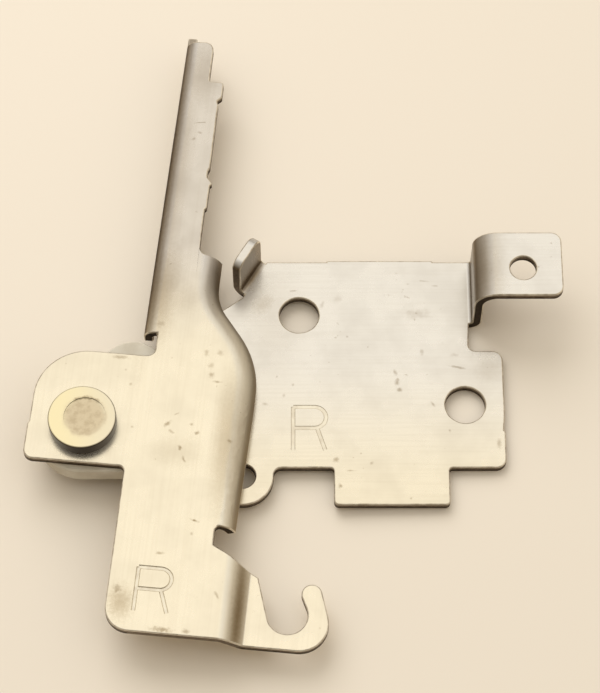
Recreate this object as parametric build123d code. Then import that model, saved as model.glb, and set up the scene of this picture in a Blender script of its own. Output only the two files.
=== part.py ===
"""Right-hand dishwasher door hinge: a pressed lever turning on a riveted mounting plate.

Units are millimetres. The origin is on the pivot axis, at the end face of the rivet's tail.
+Z runs up the rivet to its head. The mounting plate is square to X and Y, with its screw tab
towards +X. The lever is drawn square to its own axes and then swung to its rest angle.
"""

from build123d import *

import os
from math import asin, atan2, cos, degrees, hypot, radians, sin, sqrt, tan

# Sheet and levels
sheet = 2.0
tail_height = 2.0
spacer_thickness = 4.0
axial_play = 0.05
running_clearance = 0.05

# Step that the punch leaves where two of its cuts meet
shear_step = 0.3

plate_bottom = tail_height
plate_top = plate_bottom + sheet
spacer_top = plate_top + spacer_thickness
lever_bottom = spacer_top + axial_play
lever_top = lever_bottom + sheet
head_bottom = lever_top + axial_play

# Pivot rivet
head_radius = 7.05
head_height = 3.0
head_edge = 0.35
dish_radius = 4.35
dish_depth = 0.15
dish_offset = 0.6
journal_radius = 4.0
tenon_radius = 3.0
tail_radius = 5.0
tail_edge = 0.5

# Friction plate
sleeve_wall = 1.0
spacer_overhang = 2.7
spacer_top_centre = (9.7, 12.9)
spacer_top_radius = 7.1
spacer_side_centre = (13.0, -3.0)
spacer_side_radius = 7.0
peg_radius = 2.0
spacer_edge = 0.4

sleeve_radius = journal_radius + running_clearance + sleeve_wall

# Mounting plate
boss_radius = 7.4
stop_corner = (32.5, 32.5)
stop_angle = 59.4
stop_base_length = 10.0
plate_top_edge = 41.25
plate_right_upper = 80.7
shoulder_y = 19.8
plate_right = 87.85
foot_left = 51.95
foot_right = 75.95
foot_depth = 8.4
plate_corner = 2.2
foot_corner = 1.0
inner_corner = 0.7
shoulder_corner = 1.4
lobe_centre = (32.95, -9.3)
lobe_radius = 6.5
lobe_fillet = 1.6
lobe_hole_radius = 2.7
fixing_hole_radius = 4.2
fixing_holes = [(44.7, 28.3), (79.6, 7.05)]
top_cut = (50.6, 73.5)
right_nick = (0.9, 4.8)

spacer_pivot_radius = boss_radius + spacer_overhang

# Stop tab of the mounting plate
stop_height = 10.8
stop_bend = 1.0
stop_start = 1.05
stop_width = 8.7
stop_lower_corner = 2.2
stop_upper_corner = 3.0

# Screw tab of the mounting plate
tab_low_y = 26.2
tab_rise = 13.1
tab_end = 100.1
tab_foot_bend = 0.9
tab_head_bend = 3.0
tab_corner = 2.2
tab_hole = (91.8, 32.7)
tab_hole_radius = 2.75

# Hinge lever: ear and body, in the lever's own axes
lever_rest_angle = -5.5
ear_left = -11.45
ear_cut = -0.5
ear_bottom = -8.85
ear_top = 16.8
ear_corner = 2.0
ear_shoulder = 11.0
ear_fillet = 1.7
body_left = 9.75
body_bottom = -44.4
body_corner = 5.0
body_fillet = 1.2

# Hinge lever: arm and its left lip
arm_lean = 0.55
arm_tip_right = 16.65
arm_right = 19.3
arm_end = 95.9
arm_end_corner = 2.0
tongue_length = 2.6
left_lip_end = 22.4
left_lip_gap = 3.1
left_lip_depth = 4.6
left_lip_bend = 1.0
catch_step = 0.42
tip_catch_step = 0.6
catch_relief = 0.4
tip_catch = (81.7, 85.7)
middle_catch = (53.6, 59.1)
middle_tooth = 59.6
middle_relief = (61.2, 62.6)
tooth_step = 0.45
catch_ramp = 1.0
catch_round = 0.4

# Hinge lever: right lip
lip_upper_x = 24.4
lip_lower_x = 34.8
lip_end_x = 33.9
lip_upper_end = 42.0
lip_taper_top = 8.0
lip_swerve_top = 32.35
lip_swerve_bottom = 19.05
lip_upper_radius = 10.0
lip_lower_radius = 22.0
right_lip_depth = 4.8
right_lip_bend = 3.0
right_lip_angle = 62.0
lip_end_depth = 4.2
lip_end_bend = 1.8
lip_end_fillet = 1.6

# Hinge lever: notch, joggle and spring hook, with heights above the body's bottom edge
notch_left = 29.8
neck_height = 20.0
notch_height = 4.2
notch_round = 0.4
notch_top_round = 0.9
joggle_start = 32.4
joggle_end = 38.1
joggle_drop = 3.0
joggle_bend = 2.0
joggle_foot_bend = 0.6
hook_corner = (39.5, 14.9)
throat_centre = (46.1, 7.5)
throat_radius = 4.1
hook_outer_x = 48.6
hook_outer_radius = 6.0
hook_tip_centre = (50.6, 12.4)
hook_tip_radius = 2.1

notch_bottom = body_bottom + neck_height
lip_lower_end = notch_bottom + notch_height

# Reach of the tools that trim the bent sheet
trim = 60.0


def rounded(corners):
    """Face of a polygon whose corners are (x, y, radius)."""
    points = [(x, y) for x, y, _ in corners]
    radii = [radius for _, _, radius in corners]
    return make_face(FilletPolyline(*points, radius=radii, close=True))


def tangent_points(first, second):
    """Ends of the line that leaves one circle and meets the next, for radii signed by turn."""
    (x1, y1, r1), (x2, y2, r2) = first, second
    heading = atan2(y2 - y1, x2 - x1)
    lean = asin((r2 - r1) / hypot(x2 - x1, y2 - y1))
    side = heading - lean - radians(90)
    leave = (x1 + r1 * cos(side), y1 + r1 * sin(side))
    meet = (x2 + r2 * cos(side), y2 + r2 * sin(side))
    return leave, meet


def belt(circles):
    """Face inside a belt run round circles (x, y, radius): + turns left, - turns right, 0 is a corner."""
    count = len(circles)
    spans = [tangent_points(circles[i], circles[(i + 1) % count]) for i in range(count)]
    edges = []
    for i, (x, y, radius) in enumerate(circles):
        arrive = spans[i - 1][1]
        leave, meet = spans[i]
        if radius:
            start = degrees(atan2((arrive[1] - y) / radius, (arrive[0] - x) / radius))
            stop = degrees(atan2((leave[1] - y) / radius, (leave[0] - x) / radius))
            turn = (stop - start) % 360 if radius > 0 else -((start - stop) % 360)
            flip = 0 if radius > 0 else 180
            edges.append(CenterArc((x, y), abs(radius), start + flip, turn))
        edges.append(Line(leave, meet))
    return make_face(Wire(edges))


def prism(face, low, high):
    """Upright solid of a face drawn in plan, between two levels."""
    return extrude(Pos(0, 0, low) * face, amount=high - low, dir=(0, 0, 1))


def hole(centre, radius, low, high):
    """Upright round tool, from a little below one level to a little above another."""
    return Pos(centre[0], centre[1], low - sheet) * Cylinder(
        radius, high - low + 2 * sheet, align=(Align.CENTER, Align.CENTER, Align.MIN)
    )


def bend_lengths(inner_radius, depth, angle):
    """Straight stretch of a bent lip, and how far the lip reaches out from where its bend begins."""
    outer_radius = inner_radius + sheet
    turn = radians(angle)
    straight = (depth - outer_radius + inner_radius * cos(turn)) / sin(turn)
    return straight, outer_radius * sin(turn) + straight * cos(turn)


def bend_section(inner_radius, depth, angle=90):
    """Section of a lip bent down off a sheet: x = 0 at its outer end, z = 0 on the sheet's top."""
    straight, reach = bend_lengths(inner_radius, depth, angle)
    outer_radius = inner_radius + sheet
    inner = CenterArc((reach, -outer_radius), inner_radius, 90, angle)
    outer = CenterArc((reach, -outer_radius), outer_radius, 90 + angle, -angle)
    down = Vector(-cos(radians(angle)), -sin(radians(angle))) * straight
    inner_end = inner @ 1 + down
    outer_end = outer @ 0 + down
    line = [
        Line((reach, 0), (reach, -sheet)),
        inner,
        Line(inner @ 1, inner_end),
        Line(inner_end, outer_end),
        Line(outer_end, outer @ 0),
        outer,
    ]
    return make_face(Wire(line))


def swerve_path(inset):
    """Line of the right lip's outer end as far as its taper, moved in towards the body."""
    slope = atan2(lip_swerve_top - lip_swerve_bottom, lip_lower_x - lip_upper_x)
    shift = inset * tan((radians(90) - slope) / 2)
    return FilletPolyline(
        (lip_upper_x - inset, lip_upper_end + sheet),
        (lip_upper_x - inset, lip_swerve_top - shift),
        (lip_lower_x - inset, lip_swerve_bottom - shift),
        (lip_lower_x - inset, lip_taper_top),
        radius=[lip_upper_radius + inset, lip_lower_radius - inset],
    )


def across_lip(x, y):
    """Plane across the right lip, with its x towards the body."""
    return Plane(origin=(x, y, 0), x_dir=(-1, 0, 0), z_dir=(0, 1, 0))


def right_lip():
    """Flared lip that follows the swerve down the lever's right side, then tapers to its lower end."""
    section = bend_section(right_lip_bend, right_lip_depth, right_lip_angle)
    end_section = bend_section(lip_end_bend, lip_end_depth, right_lip_angle)
    path = swerve_path(0)
    swerve = sweep(across_lip((path @ 0).X, (path @ 0).Y) * section, path=path)
    upper = across_lip(lip_lower_x, lip_taper_top) * section
    lower = across_lip(lip_end_x, lip_lower_end - sheet) * end_section
    return Pos(0, 0, lever_top) * (swerve + loft([upper, lower]))


def left_lip():
    """Straight lip down the arm's left side, with the tongue that outruns the arm."""
    section = bend_section(left_lip_bend, left_lip_depth)
    length = arm_end - left_lip_end
    upright = left_lip_depth - left_lip_bend - sheet
    lip = extrude(Plane.XZ * section, amount=length, dir=(0, 1, 0))
    tongue = Pos(0, length - sheet, -left_lip_depth) * Box(
        sheet, tongue_length + sheet, upright, align=(Align.MIN, Align.MIN, Align.MIN)
    )
    return Pos(body_left, left_lip_end, lever_top) * Rot(0, 0, -arm_lean) * (lip + tongue)


def lever_flat():
    """Flat of the lever, as far as the lines where its lips and joggle begin."""
    lip_start = bend_lengths(right_lip_bend, right_lip_depth, right_lip_angle)[1]
    end_start = bend_lengths(lip_end_bend, lip_end_depth, right_lip_angle)[1]
    edge = swerve_path(lip_start)
    end = (lip_end_x - end_start, lip_lower_end - sheet)
    left = body_left + left_lip_bend + sheet
    left_at_end = left + (arm_end - left_lip_end) * tan(radians(arm_lean))
    outline = [
        *edge.edges(),
        Line(edge @ 1, end),
        Line(end, (joggle_start, end[1])),
        Line((joggle_start, end[1]), (joggle_start, body_bottom - sheet)),
        Line((joggle_start, body_bottom - sheet), (ear_left - sheet, body_bottom - sheet)),
        Line((ear_left - sheet, body_bottom - sheet), (ear_left - sheet, left_lip_end)),
        Line((ear_left - sheet, left_lip_end), (left, left_lip_end)),
        Line((left, left_lip_end), (left_at_end, arm_end)),
        Line((left_at_end, arm_end), (arm_right + sheet, arm_end)),
        Line((arm_right + sheet, arm_end), (arm_right + sheet, (edge @ 0).Y)),
        Line((arm_right + sheet, (edge @ 0).Y), edge @ 0),
    ]
    return prism(make_face(Wire(outline)), lever_bottom, lever_top)


def joggle():
    """Sheet that slopes down from the body to the level of the spring hook, between two bends."""
    run = joggle_end - joggle_start
    both = joggle_bend + sheet + joggle_foot_bend
    rise = both - joggle_drop
    slope = sqrt(run**2 + rise**2 - both**2)
    angle = degrees(atan2(both, slope) - atan2(rise, run))
    far = hook_outer_x + trim / 2
    low = lever_bottom - joggle_drop
    high_centre = (joggle_start, lever_bottom - joggle_bend)
    low_centre = (joggle_end, low + sheet + joggle_foot_bend)
    top_first = CenterArc(high_centre, joggle_bend + sheet, 90, -angle)
    top_second = CenterArc(low_centre, joggle_foot_bend, 270 - angle, angle)
    under_first = CenterArc(low_centre, joggle_foot_bend + sheet, 270, -angle)
    under_second = CenterArc(high_centre, joggle_bend, 90 - angle, angle)
    line = [
        top_first,
        Line(top_first @ 1, top_second @ 0),
        top_second,
        Line(top_second @ 1, (far, low + sheet)),
        Line((far, low + sheet), (far, low)),
        Line((far, low), under_first @ 0),
        under_first,
        Line(under_first @ 1, under_second @ 0),
        under_second,
        Line(under_second @ 1, top_first @ 0),
    ]
    section = Plane(origin=(0, 0, 0), x_dir=(1, 0, 0), z_dir=(0, -1, 0)) * make_face(Wire(line))
    width = notch_bottom - body_bottom + sheet
    return extrude(Pos(0, body_bottom - sheet, 0) * section, amount=width, dir=(0, 1, 0))


def above_bottom(place):
    """Point of the lever, from its x and its height above the body's bottom edge."""
    return place[0], body_bottom + place[1]


def neck_edge(x):
    """Height of the neck's slanted upper edge, which meets the stop tab when the lever is open."""
    slope = (hook_corner[1] - neck_height) / (hook_corner[0] - notch_left)
    return notch_bottom + slope * (x - notch_left)


def lever_outline():
    """Blank of the lever seen in plan, without its hook."""
    relief = arm_right - catch_relief
    catch = arm_right + catch_step
    tip_catch_right = arm_right + tip_catch_step
    ear_upper_left = ear_left + shear_step
    tongue_right = body_left + left_lip_gap + (arm_end - left_lip_end) * tan(radians(arm_lean))
    return rounded(
        [
            (ear_left, ear_bottom, ear_corner),
            (body_left, ear_bottom, body_fillet),
            (body_left, body_bottom, body_corner),
            (joggle_end, body_bottom, 0),
            (joggle_end, neck_edge(joggle_end), 0),
            (notch_left, notch_bottom, notch_round),
            (notch_left, lip_lower_end, notch_top_round),
            (lip_lower_x + sheet, lip_lower_end, 0),
            (lip_lower_x + sheet, lip_upper_end, 0),
            (arm_right, lip_upper_end, lip_end_fillet),
            (arm_right, middle_catch[0] - catch_ramp / 2, catch_round / 2),
            (catch, middle_catch[0], catch_round / 2),
            (catch, middle_catch[1], catch_round / 4),
            (catch + tooth_step, middle_tooth, catch_round / 2),
            (relief, middle_relief[0], catch_round),
            (relief, middle_relief[1], catch_round),
            (arm_right, middle_relief[1] + catch_ramp, catch_round),
            (arm_right, tip_catch[0] - 2 * catch_ramp, catch_round),
            (relief, tip_catch[0] - catch_ramp, catch_round),
            (tip_catch_right, tip_catch[0], catch_round),
            (tip_catch_right, tip_catch[1], 2 * catch_round),
            (arm_tip_right, tip_catch[1], catch_round),
            (arm_tip_right, arm_end, arm_end_corner),
            (tongue_right, arm_end, 0),
            (tongue_right, arm_end + 2 * tongue_length, 0),
            (body_left - sheet, arm_end + 2 * tongue_length, 0),
            (body_left - sheet, left_lip_end, 0),
            (body_left + left_lip_gap, left_lip_end, 0),
            (body_left + left_lip_gap, ear_top, ear_fillet),
            (ear_upper_left, ear_top, ear_shoulder),
            (ear_upper_left, ear_cut, 0),
            (ear_left, ear_cut - 2 * shear_step, 0),
        ]
    )


def hook_outline():
    """Spring hook seen in plan, from the joggle out."""
    return belt(
        [
            (joggle_start, body_bottom, 0),
            (*above_bottom((hook_outer_x, hook_outer_radius)), hook_outer_radius),
            (*above_bottom(hook_tip_centre), hook_tip_radius),
            (*above_bottom(throat_centre), -throat_radius),
            (*above_bottom(hook_corner), 0),
            (joggle_start, neck_edge(joggle_start), 0),
        ]
    )


def hinge_lever():
    """Pressed lever: ear, swerved arm with two lips, notch, and joggled spring hook."""
    bent = lever_flat() + right_lip() + left_lip() + joggle()
    blank = prism(lever_outline() + hook_outline(), plate_top, lever_top + sheet)
    lever = bent & blank
    lever -= hole((0, 0), sleeve_radius + running_clearance, lever_bottom, lever_top)
    return Rot(0, 0, lever_rest_angle) * lever


def plate_outline():
    """Mounting plate seen in plan, without its two tabs."""
    middle = foot_left - inner_corner - lobe_fillet
    arm = belt(
        [
            (0, 0, boss_radius),
            (middle, -boss_radius, 0),
            (middle, stop_corner[1], 0),
            (*stop_corner, 0),
        ]
    )
    lobe = arm + Pos(*lobe_centre) * Circle(lobe_radius)
    creases = [v for v in lobe.vertices() if abs(v.Y + boss_radius) < 0.01 and 0 < v.X < middle]
    lobe = fillet(creases, lobe_fillet)
    stop_end_x = stop_corner[0] + stop_base_length * cos(radians(stop_angle))
    stop_end_y = stop_corner[1] + stop_base_length * sin(radians(stop_angle))
    main = rounded(
        [
            (middle, -boss_radius, 0),
            (foot_left, -boss_radius, inner_corner),
            (foot_left, -boss_radius - foot_depth, foot_corner),
            (foot_right, -boss_radius - foot_depth, foot_corner),
            (foot_right, -boss_radius, inner_corner),
            (plate_right, -boss_radius, plate_corner),
            (plate_right, right_nick[0], 0),
            (plate_right - shear_step, right_nick[0] + shear_step, 0),
            (plate_right, right_nick[1], 0),
            (plate_right, shoulder_y, plate_corner),
            (plate_right_upper, shoulder_y, shoulder_corner),
            (plate_right_upper, plate_top_edge, 0),
            (top_cut[1], plate_top_edge, 0),
            (top_cut[1], plate_top_edge + shear_step, 0),
            (top_cut[0], plate_top_edge + shear_step, 0),
            (top_cut[0], plate_top_edge, 0),
            (stop_end_x, plate_top_edge, 0),
            (stop_end_x, stop_end_y, 0),
            (*stop_corner, 0),
            (middle, stop_corner[1], 0),
        ]
    )
    return lobe + main


def upturned_section(bend, height):
    """Section of a sheet bent up: x = 0 where the bend starts, z = 0 on the sheet's top."""
    outer = bend + sheet
    line = [
        CenterArc((0, bend), bend, 270, 90),
        Line((bend, bend), (bend, height)),
        Line((bend, height), (outer, height)),
        Line((outer, height), (outer, bend)),
        CenterArc((0, bend), outer, 0, -90),
        Line((0, -sheet), (0, 0)),
    ]
    return make_face(Wire(line))


def stop_tab():
    """Tab bent up along the plate's slanted corner, which the lever comes to rest against."""
    section = upturned_section(stop_bend, stop_height)
    start = Plane(origin=(*stop_corner, plate_top), x_dir=(0, 1, 0), z_dir=(1, 0, 0))
    strip = extrude(start * section, amount=stop_base_length, dir=(1, 0, 0))
    face = rounded(
        [
            (stop_start, -2 * sheet, 0),
            (stop_start + stop_width, -2 * sheet, 0),
            (stop_start + stop_width, stop_height, stop_upper_corner),
            (stop_start, stop_height, stop_lower_corner),
        ]
    )
    side = Plane(origin=(*stop_corner, plate_top), x_dir=(1, 0, 0), z_dir=(0, -1, 0))
    trimmer = extrude(side * face, amount=trim, dir=(0, 1, 0), both=True)
    turn = Pos(*stop_corner) * Rot(0, 0, stop_angle) * Pos(-stop_corner[0], -stop_corner[1])
    return turn * (strip & trimmer)


def screw_tab():
    """Tab that rises off the plate's right edge and turns outwards, with a screw hole."""
    riser = plate_right_upper + tab_foot_bend
    top_outer = tab_head_bend + sheet
    foot_outer = tab_foot_bend + sheet
    bend_x = riser + top_outer
    bend_z = tab_rise - top_outer
    line = [
        CenterArc((plate_right_upper, tab_foot_bend), tab_foot_bend, 270, 90),
        Line((riser, tab_foot_bend), (riser, bend_z)),
        CenterArc((bend_x, bend_z), top_outer, 180, -90),
        Line((bend_x, tab_rise), (tab_end, tab_rise)),
        Line((tab_end, tab_rise), (tab_end, tab_rise - sheet)),
        Line((tab_end, tab_rise - sheet), (bend_x, tab_rise - sheet)),
        CenterArc((bend_x, bend_z), tab_head_bend, 90, 90),
        Line((riser + sheet, bend_z), (riser + sheet, tab_foot_bend)),
        CenterArc((plate_right_upper, tab_foot_bend), foot_outer, 0, -90),
        Line((plate_right_upper, -sheet), (plate_right_upper, 0)),
    ]
    start = Plane(origin=(0, tab_low_y, plate_top), x_dir=(1, 0, 0), z_dir=(0, -1, 0))
    strip = extrude(start * make_face(Wire(line)), amount=plate_top_edge - tab_low_y, dir=(0, 1, 0))
    outline = rounded(
        [
            (plate_right_upper, tab_low_y, 0),
            (tab_end, tab_low_y, tab_corner),
            (tab_end, plate_top_edge, tab_corner),
            (plate_right_upper, plate_top_edge, 0),
        ]
    )
    strip &= prism(outline, 0, plate_top + tab_rise + sheet)
    return strip - hole(tab_hole, tab_hole_radius, plate_top + tab_rise - sheet, plate_top + tab_rise)


def mounting_plate():
    """Pressed plate that stays on the machine, with its fixing holes, stop tab and screw tab."""
    plate = prism(plate_outline(), plate_bottom, plate_top) + stop_tab() + screw_tab()
    plate -= hole((0, 0), tenon_radius, plate_bottom, plate_top)
    plate -= hole(spacer_side_centre, peg_radius, plate_bottom, plate_top)
    plate -= hole(lobe_centre, lobe_hole_radius, plate_bottom, plate_top)
    for centre in fixing_holes:
        plate -= hole(centre, fixing_hole_radius, plate_bottom, plate_top)
    return plate


def friction_plate():
    """Moulded plastic plate between lever and mounting plate, with a sleeve and a locating peg."""
    outline = belt(
        [
            (0, 0, spacer_pivot_radius),
            (*spacer_side_centre, spacer_side_radius),
            (*spacer_top_centre, spacer_top_radius),
        ]
    )
    body = prism(outline, plate_top, spacer_top)
    body = chamfer(body.edges().group_by(Axis.Z)[-1], spacer_edge)
    sleeve = prism(Circle(sleeve_radius), plate_top, head_bottom)
    peg = prism(Pos(*spacer_side_centre) * Circle(peg_radius), plate_bottom, plate_top)
    bore = hole((0, 0), journal_radius + running_clearance, plate_top, head_bottom)
    return body + sleeve + peg - bore


def pivot_rivet():
    """Shoulder rivet: flat dished head, journal, tenon through the plate, and formed tail."""
    head = prism(Circle(head_radius), head_bottom, head_bottom + head_height)
    head = fillet(head.edges().group_by(Axis.Z)[-1], head_edge)
    head_face = head_bottom + head_height
    head -= prism(Pos(dish_offset, 0) * Circle(dish_radius), head_face - dish_depth, head_face + sheet)
    tail = prism(Circle(tail_radius), 0, tail_height)
    tail = chamfer(tail.edges().group_by(Axis.Z)[0], tail_edge)
    journal = prism(Circle(journal_radius), plate_top, head_bottom)
    tenon = prism(Circle(tenon_radius), plate_bottom, plate_top)
    return head + journal + tenon + tail


def main():
    os.makedirs("parts", exist_ok=True)
    export_step(hinge_lever(), "parts/hinge_lever.step")
    export_step(mounting_plate(), "parts/mounting_plate.step")
    export_step(friction_plate(), "parts/friction_plate.step")
    export_step(pivot_rivet(), "parts/pivot_rivet.step")


main()
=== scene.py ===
"""Looks of a right-hand dishwasher door hinge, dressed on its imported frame.

Lengths are written in millimetres and become metres through MM. Each piece is a merged copy of its
solid with its own finish, and it rides where the solid rides. The two pressings also have rolled
edges and stamped hand marks. The camera stands where the photograph was taken.
"""

import logging
import math
from dataclasses import dataclass, field
from enum import Enum

import bpy
from mathutils import Matrix, Vector


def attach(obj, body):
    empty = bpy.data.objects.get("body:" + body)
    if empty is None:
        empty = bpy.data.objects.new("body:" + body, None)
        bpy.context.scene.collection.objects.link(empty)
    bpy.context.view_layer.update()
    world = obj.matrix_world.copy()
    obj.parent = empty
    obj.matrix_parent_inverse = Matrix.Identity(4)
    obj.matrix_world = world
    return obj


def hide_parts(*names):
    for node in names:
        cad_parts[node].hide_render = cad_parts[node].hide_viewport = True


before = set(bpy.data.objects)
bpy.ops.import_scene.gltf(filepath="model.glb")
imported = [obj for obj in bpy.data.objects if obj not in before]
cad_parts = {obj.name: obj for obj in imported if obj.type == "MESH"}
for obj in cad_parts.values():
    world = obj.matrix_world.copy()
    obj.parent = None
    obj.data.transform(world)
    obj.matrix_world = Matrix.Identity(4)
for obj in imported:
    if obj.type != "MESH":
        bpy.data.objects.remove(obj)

MM = 0.001
WELD = 0.000001
LOG = logging.getLogger("hinge")
SHEET = 2.0
PLATE_LOW = 2.0
LEVER_LOW = 8.05
HOOK_LOW = 5.05
TAB_LOW = 15.1
LEVER_TURN = -5.5

Colour = tuple[float, float, float, float]
Point = tuple[float, float]
Span = tuple[float, float]
Triple = tuple[float, float, float]
Socket = bpy.types.NodeSocket


class Body(Enum):
    """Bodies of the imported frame."""

    BASE = "base"
    LEVER = "lever"


class Slot(Enum):
    """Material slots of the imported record."""

    LEVER = "lever_steel"
    PLATE = "plate_steel"
    NYLON = "natural_nylon"
    RIVET = "rivet_steel"


class Blend(Enum):
    """Ways in which one colour is laid over another."""

    MIX = "MIX"
    MULTIPLY = "MULTIPLY"


def shade(red: int, green: int, blue: int) -> Colour:
    """Turn a colour as a screen shows it into the linear colour of a socket.

    Args:
        red: Red from 0 to 255.
        green: Green from 0 to 255.
        blue: Blue from 0 to 255.

    Returns:
        Linear red, green and blue, with full cover.
    """
    parts = [value / 255 for value in (red, green, blue)]
    linear = [v / 12.92 if v <= 0.04045 else ((v + 0.055) / 1.055) ** 2.4 for v in parts]
    return linear[0], linear[1], linear[2], 1.0


class NodeGraph:
    """Short calls for the few shader nodes that the finishes are made of."""

    def __init__(self, tree: bpy.types.NodeTree) -> None:
        """Keep the tree that the nodes are added to."""
        self.tree = tree

    def add(self, kind: str) -> bpy.types.Node:
        """Add a node of one kind to the tree."""
        return self.tree.nodes.new(kind)

    def feed(self, socket: Socket, value: object) -> None:
        """Link an output to a socket, or set the socket to a plain value.

        Args:
            socket: Input to be fed.
            value: Output socket, number, vector or colour.
        """
        if isinstance(value, Socket):
            self.tree.links.new(value, socket)
        else:
            socket.default_value = value

    def place(self) -> Socket:
        """Give the piece's own coordinates, in metres."""
        return self.add("ShaderNodeTexCoord").outputs["Object"]

    def steepness(self) -> Socket:
        """Give 1 on a level surface and 0 on an upright one."""
        facing = self.add("ShaderNodeNewGeometry").outputs["Normal"]
        return self.join("ABSOLUTE", self.axis(facing, "Z"), 0.0)

    def axis(self, vector: Socket, name: str) -> Socket:
        """Give one coordinate of a vector.

        Args:
            vector: Vector to be split.
            name: X, Y or Z.

        Returns:
            The coordinate.
        """
        split = self.add("ShaderNodeSeparateXYZ")
        self.feed(split.inputs[0], vector)
        return split.outputs[name]

    def mapped(
        self,
        vector: Socket,
        centre: Point = (0.0, 0.0),
        turn: float = 0.0,
        size: Triple = (1.0, 1.0, 1.0),
        level: float = 0.0,
    ) -> Socket:
        """Move a centre to zero, then turn the pattern and divide it by a size.

        Args:
            vector: Coordinates in metres.
            centre: Place in millimetres that becomes zero.
            turn: Angle of the pattern in degrees.
            size: Length in metres of one unit along each turned axis.
            level: Height in millimetres that becomes zero.

        Returns:
            The mapped coordinates.
        """
        node = self.add("ShaderNodeMapping")
        node.vector_type = "TEXTURE"
        node.inputs["Location"].default_value = (centre[0] * MM, centre[1] * MM, level * MM)
        node.inputs["Rotation"].default_value = (0.0, 0.0, math.radians(turn))
        node.inputs["Scale"].default_value = size
        self.feed(node.inputs["Vector"], vector)
        return node.outputs["Vector"]

    def noise(
        self,
        vector: Socket,
        scale: float,
        detail: float = 2.0,
        rough: float = 0.5,
    ) -> Socket:
        """Give a soft noise from 0 to 1.

        Args:
            vector: Coordinates.
            scale: Number of waves in one unit.
            detail: Number of finer layers.
            rough: Share of the finer layers.

        Returns:
            The noise.
        """
        node = self.add("ShaderNodeTexNoise")
        self.feed(node.inputs["Vector"], vector)
        node.inputs["Scale"].default_value = scale
        node.inputs["Detail"].default_value = detail
        node.inputs["Roughness"].default_value = rough
        return node.outputs["Fac"]

    def ramp(
        self,
        value: Socket,
        start: float,
        stop: float,
        low: float = 0.0,
        high: float = 1.0,
    ) -> Socket:
        """Ease a value from one level to another.

        Args:
            value: Value to be eased.
            start: Value that gives low.
            stop: Value that gives high.
            low: First level.
            high: Last level.

        Returns:
            The eased value.
        """
        node = self.add("ShaderNodeMapRange")
        node.interpolation_type = "SMOOTHSTEP"
        self.feed(node.inputs["Value"], value)
        node.inputs["From Min"].default_value = start
        node.inputs["From Max"].default_value = stop
        node.inputs["To Min"].default_value = low
        node.inputs["To Max"].default_value = high
        return node.outputs["Result"]

    def join(self, operation: str, first: object, second: object) -> Socket:
        """Join two numbers by a named operation.

        Args:
            operation: Name of the operation.
            first: First number or output.
            second: Second number or output.

        Returns:
            The result.
        """
        node = self.add("ShaderNodeMath")
        node.operation = operation
        self.feed(node.inputs[0], first)
        self.feed(node.inputs[1], second)
        return node.outputs[0]

    def mix(
        self, share: object, under: object, over: object, blend: Blend = Blend.MIX
    ) -> Socket:
        """Lay one colour over another.

        Args:
            share: Cover of the upper colour, from 0 to 1.
            under: Lower colour.
            over: Upper colour.
            blend: Way in which the upper colour is laid on.

        Returns:
            The mixed colour.
        """
        node = self.add("ShaderNodeMix")
        node.data_type = "RGBA"
        node.blend_type = blend.value
        self.feed(node.inputs["Factor"], share)
        self.feed(node.inputs[6], under)
        self.feed(node.inputs[7], over)
        return node.outputs[2]

    def length(self, vector: Socket) -> Socket:
        """Give the length of a vector.

        Args:
            vector: Vector to be measured.

        Returns:
            Its length.
        """
        node = self.add("ShaderNodeVectorMath")
        node.operation = "LENGTH"
        self.feed(node.inputs[0], vector)
        return node.outputs["Value"]

    def bump(self, height: Socket, depth: float, share: float) -> Socket:
        """Turn a height into a normal.

        Args:
            height: Height from 0 to 1.
            depth: Depth in metres of a height of 1.
            share: Strength from 0 to 1.

        Returns:
            The normal.
        """
        node = self.add("ShaderNodeBump")
        node.inputs["Strength"].default_value = share
        node.inputs["Distance"].default_value = depth
        self.feed(node.inputs["Height"], height)
        return node.outputs["Normal"]


def new_material(name: str) -> tuple[bpy.types.Material, NodeGraph, bpy.types.Node]:
    """Start a material.

    Args:
        name: Name of the finish.

    Returns:
        The material, its graph and its shader.
    """
    material = bpy.data.materials.new(name)
    material.use_nodes = True
    graph = NodeGraph(material.node_tree)
    return material, graph, material.node_tree.nodes["Principled BSDF"]


@dataclass(frozen=True)
class Mark:
    """One mark on a sheet, dull or of painted shade: its centre, two lengths, angle, cover, and
    how ragged its rim is.

    A mark reaches through all levels unless its own level and height are given.
    """

    centre: Point
    length: float
    width: float
    turn: float = 0.0
    cover: float = 0.7
    ragged: float = 1.6
    level: float = 0.0
    tall: float = 2000.0

    def size(self) -> Triple:
        """Give half of the mark's length, width and height, in metres."""
        return self.length * MM / 2, self.width * MM / 2, self.tall * MM / 2


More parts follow.
